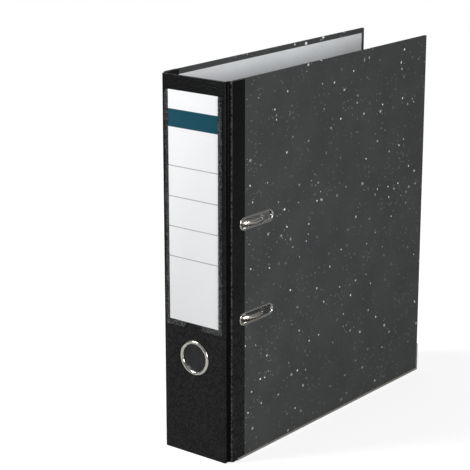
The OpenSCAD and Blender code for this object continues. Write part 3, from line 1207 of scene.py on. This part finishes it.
@dataclass
class Crease(Assembly):
    """The creased strip of spine paper between a cover's bead and the spine's, its paper painted
    darker as painted shade in the groove.
    """

    side: Side = Side.BACK
    thickness: float = 0.9
    valley: float = 0.8
    bite: float = 0.2
    # Black paper painted darker than the rest of the spine paper: painted shade of the crease.
    ink_and_shade: ClassVar[GrainedPaper] = GrainedPaper(
        base=(0.0012, 0.0012, 0.0013), crest=(0.0030, 0.0030, 0.0030), specular=0.05)

    def build(self) -> None:
        """Make the strip with its hollow valley."""
        lay = self.layout
        run = (lay.bead[0] - lay.fold[0], lay.bead[1] - lay.fold[1])
        half = hypot(*run) / 2 - lay.nose + self.bite
        middle = [(a + b) / 2 for a, b in zip(lay.bead, lay.fold)]
        piece = self.bench.box(f"{self.side.value}_hinge_strip",
                               Vector((-half, -self.thickness / 2, lay.bottom)) * MM,
                               Vector((half, self.thickness / 2, lay.height)) * MM)
        with self.bench.editing(piece, Pick.EDGE):
            self.bench.choose(piece, Pick.EDGE, spans(Axis.X))
            bpy.ops.mesh.subdivide(number_cuts=7)
        for step in range(-3, 4):
            dip = self.valley * (1 - (step / 4) ** 2)
            place = half * MM * step / 4
            with self.bench.editing(piece):
                self.bench.choose(piece, Pick.VERT,
                                  lambda co: abs(co.x - place) < HAIR)
                bpy.ops.transform.translate(value=(0, dip * MM, 0))
        self.bench.soften(piece, 0.1 * MM)
        self.bench.hold(piece)
        turn = atan2(run[1], run[0])
        centre = lay.at(middle[0], middle[1], 0, self.side)
        piece.data.transform(Matrix.Rotation(turn, 4, "Z"))
        if self.side is Side.FRONT:
            piece.data.transform(Matrix.Scale(-1, 4, Vector((1, 0, 0))))
            piece.data.flip_normals()
        piece.data.transform(Matrix.Translation(centre))
        self.install(piece, f"{self.side.value}_crease", self.ink_and_shade)


# -------------------------------------------------------------------- spine


@dataclass
class Spine(Assembly):
    """Spine board with its wrapped paper and lining."""

    hole_r: float = 12.65

    def build(self) -> None:
        """Make every layer of the spine."""
        self.keep("spine_board", Greyboard())
        self.paper()
        self.lining()

    def hole(self) -> Piece:
        """A cutter for the finger hole."""
        lay = self.layout
        reach = lay.cover_t + self.over
        outline = [(0, -reach), (self.hole_r, -reach), (self.hole_r, reach), (0, reach)]
        centre = lay.at(lay.spine_w / 2, lay.cover_t / 2, lay.ring_z)
        return self.bench.lathe("hole_tool", outline, Axis.Y, centre, 72)

    def bar(self, name: str, radius: float, low_z: float, high_z: float) -> Piece:
        """A slab as wide as the spine with both sides fully rounded.

        Args:
            name: the piece's name.
            radius: half the slab's thickness.
            low_z: bottom of the slab.
            high_z: top of the slab.

        Returns:
            The slab.
        """
        x, y = self.layout.bead
        piece = self.block(name, (x - radius, y - radius, low_z),
                           (self.layout.spine_w - x + radius, y + radius, high_z))
        self.bench.round_edges(piece, radius * FULL_ROUND * MM, 10,
                               spans(Axis.Z, MM))
        return piece

    def paper(self) -> None:
        """Black paper round the spine board, turned in at the inner face."""
        lay = self.layout
        z0, z1, paper = lay.bottom, lay.height, self.paper_t
        margin = paper + self.turn_in
        low_x, high_x = (corner.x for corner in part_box("spine_paper"))
        piece = self.bar("spine_cover_paper", lay.nose, z0, z1)
        self.bench.round_edges(piece, self.fold_r * MM, 2, lambda a, b: abs(a.z - b.z) < HAIR)
        core = self.bar("core", lay.nose - paper, z0 + paper, z1 - paper)
        window = self.block("window", (lay.bead[0], lay.cover_t - 2 * paper, z0 + margin),
                            (lay.spine_w - lay.bead[0], lay.cover_t + self.over, z1 - margin))
        self.bench.cut(piece, core, window, self.hole())
        self.bench.soften(piece, 0.0)
        left, right, top_z = low_x + lay.nose * MM, high_x - lay.nose * MM, z1 * MM
        # Painted highlights along both beads and the top edge, and painted light that grows towards
        # the bottom.
        painted_lights = (PaintedLight(Axis.X, left - 0.6 * MM, low_x, 0.7), PaintedLight(Axis.X, right, high_x, 0.05),
                self.top_highlight(),
                PaintedLight(Axis.Z, top_z * 0.95, top_z * 0.4, 0.08))
        self.install(piece, "spine_paper", GrainedPaper(painted_lights))

    def lining(self) -> None:
        """Lining strip inside the spine."""
        lay = self.layout
        margin = self.paper_t + self.turn_in
        y0 = lay.cover_t - self.paper_t
        piece = self.block("spine_lining_sheet", (lay.bead[0], y0, lay.bottom + margin),
                           (lay.spine_w - lay.bead[0], y0 + self.lining_t, lay.height - margin))
        self.bench.cut(piece, self.hole())
        self.fit(piece, "spine_lining", LiningPaper(), self.lining_r * MM)


@dataclass
class FingerRing(Assembly):
    """Rolled metal eyelet in the finger hole."""

    flange_r: float = 14.8
    barrel_r: float = 12.6
    bore_r: float = 11.8
    proud: float = 1.2
    tail: float = 0.6
    seam_w: float = 0.22

    def build(self) -> None:
        """Turn the ring and part its rolled seam."""
        lay = self.layout
        inner = -lay.cover_t
        front = [(self.flange_r, 0.0), (self.flange_r - 0.02, 0.3), (self.flange_r - 0.2, 0.68),
                 (self.flange_r - 0.6, 1.0), (self.flange_r - 1.2, self.proud),
                 (self.flange_r - 1.7, self.proud - 0.04), (self.bore_r + 0.75, 1.0),
                 (self.bore_r + 0.3, 0.72), (self.bore_r + 0.05, 0.3), (self.bore_r, -0.1)]
        back = [(self.bore_r, inner), (self.bore_r + 0.3, inner - self.tail * 0.8),
                (self.bore_r + 0.9, inner - self.tail), (self.flange_r - 1.2, inner - 0.45),
                (self.flange_r - 0.8, inner - 0.1), (self.flange_r - 0.9, inner),
                (self.barrel_r, inner), (self.barrel_r, 0.0), (self.flange_r, 0.0)]
        outline = [(r, -out) for r, out in front + back]
        centre = lay.at(lay.spine_w / 2, 0, lay.ring_z)
        piece = self.bench.lathe("finger_eyelet", outline, Axis.Y, centre, 96)
        seam = self.block("seam", (lay.spine_w / 2 + self.bore_r - 0.5, -self.proud - 1,
                                   lay.ring_z - self.seam_w / 2),
                          (lay.spine_w / 2 + self.flange_r + 1, -0.35,
                           lay.ring_z + self.seam_w / 2))
        self.bench.cut(piece, seam)
        self.fit(piece, "finger_ring", BrightNickel(), angle=50)


@dataclass
class LabelPocket(Assembly):
    """Welded clear pocket on the spine with its label."""

    base_t: float = 0.5
    rib_t: float = 0.85
    line_w: float = 0.65
    line_inset: float = 0.1
    band_w: float = 1.95
    foot_w: float = 0.95
    knurl: float = 1.25
    dent: float = 0.22
    notch_r: float = 8.5
    corner_r: float = 1.2
    card_corner_r: float = 0.5
    rib_gap: float = 0.6
    rib_foot: float = 2.0
    foot_inset: float = 4.0

    def build(self) -> None:
        """Make the welded border, the film and the card."""
        self.border()
        self.window()
        self.card()

    def notch(self) -> Piece:
        """A cutter for the half-round thumb notch."""
        low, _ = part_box("pocket_border")
        centre = Vector((self.layout.at(self.layout.spine_w / 2, 0, 0).x,
                         self.layout.origin.y, low.z))
        outline = [(0, -3), (self.notch_r, -3), (self.notch_r, 1), (0, 1)]
        return self.bench.lathe("notch_tool", outline, Axis.Y, centre, 64)

    def rib(self, name: str, low: Vector, high: Vector, axis: Axis) -> Piece:
        """A knurled weld line: a strip scored across at even steps.

        Args:
            name: the rib's name.
            low: lowest corner.
            high: highest corner.
            axis: the rib's long direction.

        Returns:
            The rib.
        """
        piece = self.bench.box(name, low, high)
        length = (high - low)[axis.value]
        count = 2 * max(2, round(length / (self.knurl * MM)))
        front = low.y
        with self.bench.editing(piece, Pick.EDGE):
            self.bench.choose(piece, Pick.EDGE,
                              lambda a, b: abs((a - b)[axis.value]) > length / 2)
            bpy.ops.mesh.subdivide(number_cuts=count - 1)
        step = length / count
        with self.bench.editing(piece):
            self.bench.choose(
                piece, Pick.VERT,
                lambda co: co.y < front + HAIR
                and round((co[axis.value] - low[axis.value]) / step) % 2 == 0)
            bpy.ops.transform.translate(value=(0, self.dent * MM, 0))
        return piece

    def border(self) -> None:
        """Welded frame: a thin base with two knurled ribs on each side and one below."""
        low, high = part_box("pocket_border")
        inner_low, inner_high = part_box("pocket_window")
        face = self.layout.origin.y
        base_y, rib_y = face - self.base_t * MM, face - self.rib_t * MM
        piece = self.bench.box("pocket_weld", Vector((low.x, base_y, low.z)),
                               Vector((high.x, face, high.z)))
        self.bench.round_edges(piece, self.corner_r * MM, 4, spans(Axis.Y))
        opening = self.bench.box("opening", Vector((inner_low.x, base_y - MM, inner_low.z)),
                                 Vector((inner_high.x, face + MM, high.z + MM)))
        self.bench.cut(piece, opening)
        ribs = []
        line, band, foot = self.line_w * MM, self.band_w * MM, self.foot_w * MM
        gap, inset = self.rib_gap * MM, self.foot_inset * MM
        root = face - self.base_t * MM * 0.6
        side = abs(inner_low.x - low.x)
        strips = ((self.line_inset * MM, line), (side - band - self.line_inset * MM, band))
        for edge, sign in ((low.x, 1), (high.x, -1)):
            for offset, width in strips:
                x = edge + sign * (offset + width / 2)
                start = Vector((x - width / 2, rib_y, low.z + self.rib_foot * MM))
                ribs.append(self.rib("rib", start, Vector((x + width / 2, root, high.z - gap)),
                                     Axis.Z))
        for z in (low.z + gap, inner_low.z - foot - gap):
            ribs.append(self.rib("rib", Vector((low.x + inset, rib_y, z)),
                                 Vector((high.x - inset, root, z + foot)), Axis.X))
        self.bench.cut(piece, *ribs, operation="UNION")
        self.bench.cut(piece, self.notch())
        self.fit(piece, "pocket_border", WeldedFilm(), angle=25)

    def window(self) -> None:
        """Clear film over the card, with the thumb notch."""
        low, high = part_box("pocket_window")
        piece = self.bench.box("pocket_film", low, high)
        self.bench.cut(piece, self.notch())
        self.fit(piece, "pocket_window", ClearFilm(), 0.06 * MM)

    def card(self) -> None:
        """Printed card with cut corners."""
        low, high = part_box("label_card")
        piece = self.bench.box("label_insert", low, high)
        self.bench.round_edges(piece, self.card_corner_r * MM, 2, spans(Axis.Y))
        self.fit(piece, "label_card", LabelPrint(), 0.05 * MM)


# -------------------------------------------------------------- cover metal


@dataclass
class SlotRims(Assembly):
    """Rolled metal eyelets of the two arch slots in the front cover."""

    proud: float = 0.6
    bore: float = 1.6
    tail: float = 0.4

    def build(self) -> None:
        """Turn both rims and stretch them to stadiums."""
        lay = self.layout
        edge = self.slot_w / 2
        hole = edge - self.bore
        depth = -lay.cover_t
        lip = edge - 0.5
        outline = [(edge, 0), (edge - 0.04, self.proud * 0.5), (edge - 0.3, self.proud * 0.88),
                   (edge - 0.75, self.proud), (edge - 1.2, self.proud * 0.83), (hole, 0.12),
                   (hole, depth), (hole + 0.3, depth - self.tail * 0.85),
                   (hole + 0.7, depth - self.tail), (lip, depth - self.tail * 0.6),
                   (lip, depth), (hole + 0.5, depth), (hole + 0.5, 0), (edge, 0)]
        half = (self.slot_l - self.slot_w) / 2
        for name, z in zip(("lower", "upper"), lay.slot_zs):
            centre = lay.at(0, lay.slot_mid, z, Side.FRONT)
            piece = self.bench.lathe(f"{name}_slot_eyelet", outline, Axis.X, centre, 66)
            self.bench.stretch(piece, Axis.Y, centre.y, half * MM)
            self.fit(piece, f"{name}_slot_rim", BrightNickel(), angle=50)


# ---------------------------------------------------------------- mechanism


@dataclass
class RivetPlan(Assembly):
    """Where the four rivets go, and the holes that they need."""

    ys: tuple[float, float] = (17.0, 58.0)
    lift: float = 54.0
    radius: float = 1.6

    def centres(self) -> list[Vector]:
        """The rivets' places on the back cover's outer face."""
        lay = self.layout
        middle = sum(lay.arch_zs) / 2
        return [lay.at(0, y, middle + dz) for y in self.ys for dz in (-self.lift, self.lift)]

    def tools(self) -> list[Piece]:
        """Cutters for the rivet holes."""
        outline = [(0, -2), (self.radius, -2), (self.radius, 6), (0, 6)]
        return [self.bench.lathe("rivet_tool", outline, Axis.X, centre, 24)
                for centre in self.centres()]


@dataclass
class Mechanism(Assembly):
    """Base plate, rivets, posts, clips, bracket, pivot and spring on the back cover."""

    plate_t: float = 1.0
    corner_r: float = 5.0
    head_r: float = 4.0
    head_t: float = 0.8
    post_r: float = 2.2
    collar_r: float = 3.6
    tip_r: float = 1.3
    window_x: tuple[float, float] = (1.0, 6.0)
    window_y: tuple[float, float] = (30.0, 50.0)
    window_dz: float = 34.0
    window_hz: float = 8.0
    slot_y: tuple[float, float] = (24.0, 41.0)
    slot_hz: float = 5.3

    def build(self) -> None:
        """Make every fixed piece of the mechanism."""
        self.base_plate()
        self.rivets()
        self.posts()
        self.pivot_pin()
        for name, node, width in (("saddle_clips", "wire_clips", 0.18),
                                  ("pivot_bracket", "lever_bracket", 0.2),
                                  ("crank_spring", "leaf_spring", 0.1)):
            self.install(self.bench.refine(name, node, width * MM), node, PlateSteel())

    def window(self, low: Point, high: Point) -> Piece:
        """A cutter for a window with round corners.

        Args:
            low: lowest corner, in the file's own millimetres.
            high: highest corner.

        Returns:
            The tool.
        """
        tool = self.block("window", low, high)
        self.bench.round_edges(tool, 1.5 * MM, 4, spans(Axis.X, MM))
        return tool

    def base_plate(self) -> None:
        """Pressed plate with round corners, windows and rivet holes."""
        low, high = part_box("base_plate")
        lay = self.layout
        middle = sum(lay.arch_zs) / 2
        piece = self.bench.box("mechanism_plate", low, high)
        self.bench.round_edges(piece, self.corner_r * MM, 8,
                               spans(Axis.X))
        plans = [(self.window_y, middle + way * self.window_dz, self.window_hz)
                 for way in (-1, 1)]
        plans.append((self.slot_y, middle, self.slot_hz))
        x0, x1 = self.window_x
        tools = [self.window((x0, y0, z - half), (x1, y1, z + half))
                 for (y0, y1), z, half in plans]
        self.bench.cut(piece, *tools, *RivetPlan(self.bench, lay).tools())
        self.fit(piece, "base_plate", PlateSteel(), 0.16 * MM)

    def rivets(self) -> None:
        """Four hollow rivets with domed heads, turned once and copied."""
        lay = self.layout
        top = lay.cover_t + self.plate_t
        head = self.head_t
        outline = [(0, -head * 0.45), (0.7, -head * 0.5), (1.1, -head * 0.95), (1.9, -head),
                   (self.head_r - 0.8, -head * 0.85), (self.head_r - 0.15, -head * 0.4),
                   (self.head_r, 0), (1.6, 0), (1.6, top), (self.head_r - 0.3, top),
                   (self.head_r - 0.4, top + head * 0.55), (self.head_r - 1.1, top + head),
                   (1.5, top + head * 0.9), (1.0, top + head * 0.4), (0, top + head * 0.35)]
        centres = RivetPlan(self.bench, lay).centres()
        first = self.bench.lathe("plate_rivet", outline, Axis.X, centres[0], 32)
        copies = [self.bench.copy(first, "plate_rivet", centre - centres[0])
                  for centre in centres[1:]]
        piece = self.bench.join([first, *copies])
        piece.name = "hollow_rivets"
        self.fit(piece, "plate_rivets", BrightNickel(), angle=40)

    def posts(self) -> None:
        """Two filing posts with a collar and a hollow tip, turned once and copied."""
        lay = self.layout
        low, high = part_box("lower_post")
        length = (high.x - low.x) / MM
        r, tip, collar = self.post_r, self.tip_r, self.collar_r
        outline = [(0, 0), (collar, 0), (collar, 0.6), (collar - 0.15, 1.0), (collar - 0.5, 1.2),
                   (r + 0.3, 1.2), (r + 0.08, 1.3), (r, 1.6), (r, length - 1.6),
                   (r - 0.1, length - 1.0), (r - 0.35, length - 0.4), (tip + 0.35, length - 0.05),
                   (tip + 0.2, length), (tip, length - 0.15), (tip, length - 2.6),
                   (tip - 0.3, length - 3), (0, length - 3)]
        centre = Vector((low.x, (low.y + high.y) / 2, (low.z + high.z) / 2))
        first = self.bench.lathe("lower_filing_post", outline, Axis.X, centre, 40)
        second = self.bench.copy(first, "upper_filing_post",
                                 Vector((0, 0, lay.arch_zs[1] - lay.arch_zs[0])) * MM)
        for piece, node in ((first, "lower_post"), (second, "upper_post")):
            self.fit(piece, node, BrightNickel(), angle=40)

    def pivot_pin(self) -> None:
        """Lever pivot with two domed heads."""
        self.turned("lever_pivot", "lever_pivot_pin",
                    [(2, 0.8), (3, 0.8), (3, 0.4), (2.6, 0.1), (1.8, 0.0), (0, 0.0)], 32)


@dataclass
class ArchWire(Assembly):
    """One bent wire: two arches, the hinge rods and the crank."""

    radius: float = 2.0
    corner: float = 4.0
    arch_r: float = 18.5
    tail: float = 2.8
    crank_l: float = 17.0
    crank_hz: float = 16.0

    def build(self) -> None:
        """Bend the wire from the upper arch's tip to the lower one's."""
        low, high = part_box("arch_wire")
        lay = self.layout
        c, r = self.corner * MM, self.radius * MM
        hinge_x, hinge_y = low.x + r, low.y + r
        arch_x = high.x - r - self.arch_r * MM
        post_y = hinge_y + 2 * self.arch_r * MM
        top, bottom = (z * MM for z in reversed(lay.arch_zs))
        middle = (top + bottom) / 2
        crank = self.crank_hz * MM
        wire = WireBender(self.bench, "bent_arch_wire",
                          Vector((arch_x - self.tail * MM, post_y, top)), Axis.X, r)
        self._arch(wire, arch_x, post_y, hinge_x, top, 1)
        upper, lower = middle + crank, middle - crank
        length = self.crank_l * MM
        far_y = hinge_y + length
        turns = (
            (Vector((hinge_x + c, hinge_y, top - c)), Axis.Y, -1,
             Vector((0, 0, upper + c - (top - c)))),
            (Vector((hinge_x, hinge_y + c, upper + c)), Axis.X, 1, Vector((0, length - 2 * c, 0))),
            (Vector((hinge_x, far_y - c, upper - c)), Axis.X, -1, Vector((0, 0, -2 * (crank - c)))),
            (Vector((hinge_x, far_y - c, lower + c)), Axis.X, -1, Vector((0, 2 * c - length, 0))),
            (Vector((hinge_x, hinge_y + c, lower - c)), Axis.X, 1,
             Vector((0, 0, bottom + c - (lower - c)))),
            (Vector((hinge_x + c, hinge_y, bottom + c)), Axis.Y, -1, None),
        )
        for centre, axis, way, step in turns:
            wire.bend(centre, axis.along, way * pi / 2, 6)
            if step is not None:
                wire.run(step)
        self._arch(wire, arch_x, post_y, hinge_x, bottom, -1)
        piece = wire.finish()
        tip = arch_x - self.tail * MM
        self.bench.round_edges(piece, 0.7 * MM, 4,
                               lambda a, b: max(abs(a.x - tip), abs(b.x - tip)) < HAIR
                               and a.y > hinge_y + 3 * r)
        self.fit(piece, "arch_wire", BrightNickel(), angle=50)

    def _arch(self, wire: WireBender, arch_x: float, post_y: float, hinge_x: float,
              z: float, way: int) -> None:
        """Bend one arch.

        Args:
            wire: the bender, at one end of the arch.
            arch_x: where the round part starts.
            post_y: depth of the free end.
            hinge_x: the hinge line.
            z: height of the arch.
            way: 1 from the free end to the hinge, -1 back.
        """
        centre = Vector((arch_x, post_y - self.arch_r * MM, z))
        tail = Vector((self.tail * MM, 0, 0))
        leg = Vector((arch_x - hinge_x - self.corner * MM, 0, 0))
        runs = (tail, leg) if way == 1 else (leg, tail)
        wire.run(runs[0])
        wire.bend(centre, Vector((0, 0, 1)), -pi * way, 32)
        wire.run(-runs[1])


@dataclass
class Lever(Assembly):
    """Pressed lever with its rolled tip, roller and roller pin."""

    tip_r: float = 3.2
    roller_r: float = 3.5
    pin_r: float = 1.2

    def build(self) -> None:
        """Make the lever's four pieces."""
        self.install(self.bench.refine("pressed_lever", "lever", 0.22 * MM), "lever",
                     BrightNickel())
        r = self.tip_r
        self.turned("rolled_tip", "lever_tip", [(r, 1.0), (r - 0.1, 0.5), (r - 0.5, 0.12),
                                                (r - 1.1, 0.0), (r - 1.5, 0.25), (0, 0.3)])
        r = self.pin_r
        self.turned("roller_axle", "roller_pin", [(r, 0.35), (r - 0.15, 0.1), (r - 0.4, 0.0),
                                                  (0, 0.0)])
        self.roller()

    def roller(self) -> None:
        """Grooved roller that rides on the crank."""
        low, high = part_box("roller")
        half = (high.z - low.z) / 2 / MM
        r, bore = self.roller_r, self.pin_r + 0.05
        upper = [(r - 0.25, 1.2), (r - 0.25, 1.5), (r, 1.8), (r, half - 0.35), (r - 0.1, half - 0.1),
                 (r - 0.35, half), (bore + 0.25, half), (bore, half - 0.2)]
        lower = [(radius, -z) for radius, z in reversed(upper)]
        outline = lower + upper + [lower[0]]
        piece = self.bench.lathe("crank_roller", outline, Axis.Z, (low + high) / 2, 40)
        self.fit(piece, "roller", PlateSteel(), angle=40)


# ------------------------------------------------------------------- studio


@dataclass(frozen=True)
class Lamp:
    """One soft area light."""

    name: str
    place: Point
    aim: Point
    size: float
    power: float
    tint: Color = (1.0, 1.0, 1.0)


@dataclass(frozen=True)
class Studio:
    """Camera, floor, soft lamps and pale surroundings."""

    eye: Point = (0.838632, -1.144461, 0.567005)
    azimuth: float = 38.469
    elevation: float = 16.089
    lens: float = 130.08
    floor_r: float = 0.95
    backdrop: float = 1.0
    sky: tuple[tuple[float, Color], ...] = (
        (0.0, (0.04, 0.04, 0.04)),
        (0.5, (0.06, 0.06, 0.06)),
        (1.0, (0.32, 0.32, 0.32)),
    )
    lamps: tuple[Lamp, ...] = (
        Lamp("key", (-1.2, -1.3, 1.6), (0.0, 0.0, 0.1), 0.9, 48.0),
        Lamp("side", (1.9, -0.6, 0.68), (0.0, 0.0, 0.1), 0.75, 26.5),
    )

    def build(self) -> None:
        """Set up the whole studio."""
        bpy.context.scene.view_settings.view_transform = "Standard"
        self.camera()
        self.floor()
        self.world()
        for lamp in self.lamps:
            self.light(lamp)

    def camera(self) -> None:
        """Place the camera."""
        data = bpy.data.cameras.new("camera")
        data.lens = self.lens
        data.sensor_width = 36.0
        data.clip_start = 0.01
        data.clip_end = 100.0
        camera = bpy.data.objects.new("camera", data)
        camera.location = self.eye
        camera.rotation_euler = (radians(90 - self.elevation), 0.0, radians(self.azimuth))
        bpy.context.scene.collection.objects.link(camera)
        bpy.context.scene.camera = camera

    def floor(self) -> None:
        """Lay a round floor."""
        bpy.ops.mesh.primitive_circle_add(vertices=96, radius=self.floor_r, fill_type="NGON")
        disc = bpy.context.object
        disc.name = "studio_floor"
        disc.data.materials.append(FloorPaint().build())

    def world(self) -> None:
        """White backdrop behind the object, and dimmer surroundings that light it."""
        world = bpy.data.worlds.new("studio")
        world.use_nodes = True
        graph = Graph(world.node_tree)
        toward = graph.node("ShaderNodeTexCoord", output="Generated")
        height = graph.node("ShaderNodeSeparateXYZ", None, {0: toward}, 2)
        glow = graph.node("ShaderNodeValToRGB", {"stops": self.sky}, {0: height * 0.5 + 0.5})
        seen = graph.node("ShaderNodeLightPath", output="Is Camera Ray")
        white = (self.backdrop, self.backdrop, self.backdrop)
        light = graph.node("ShaderNodeBackground", None, {"Color": graph.mix(seen, glow, white)})
        graph.finish(light, "ShaderNodeOutputWorld")
        bpy.context.scene.world = world

    @staticmethod
    def light(lamp: Lamp) -> None:
        """Hang one lamp.

        Args:
            lamp: its place, aim, size and power.
        """
        data = bpy.data.lights.new(lamp.name, "AREA")
        data.shape = "DISK"
        data.size = lamp.size
        data.energy = lamp.power
        data.color = lamp.tint
        light = bpy.data.objects.new(lamp.name, data)
        light.location = lamp.place
        aim = Vector(lamp.aim) - Vector(lamp.place)
        light.rotation_euler = aim.to_track_quat("-Z", "Y").to_euler()
        bpy.context.scene.collection.objects.link(light)


def main() -> None:
    """Build the file, sub-assembly by sub-assembly, and the studio round it."""
    logging.basicConfig(level=logging.INFO, format="%(name)s: %(message)s")
    bench, layout = Bench(), Layout.from_frame()
    Studio().build()
    for side in Side:
        Cover(bench, layout, side=side).build()
        Crease(bench, layout, side=side).build()
    for assembly in (Spine, FingerRing, LabelPocket, SlotRims, Mechanism, ArchWire, Lever):
        LOG.info("making %s", assembly.__name__)
        assembly(bench, layout).build()


if __name__ == "__main__":
    main()
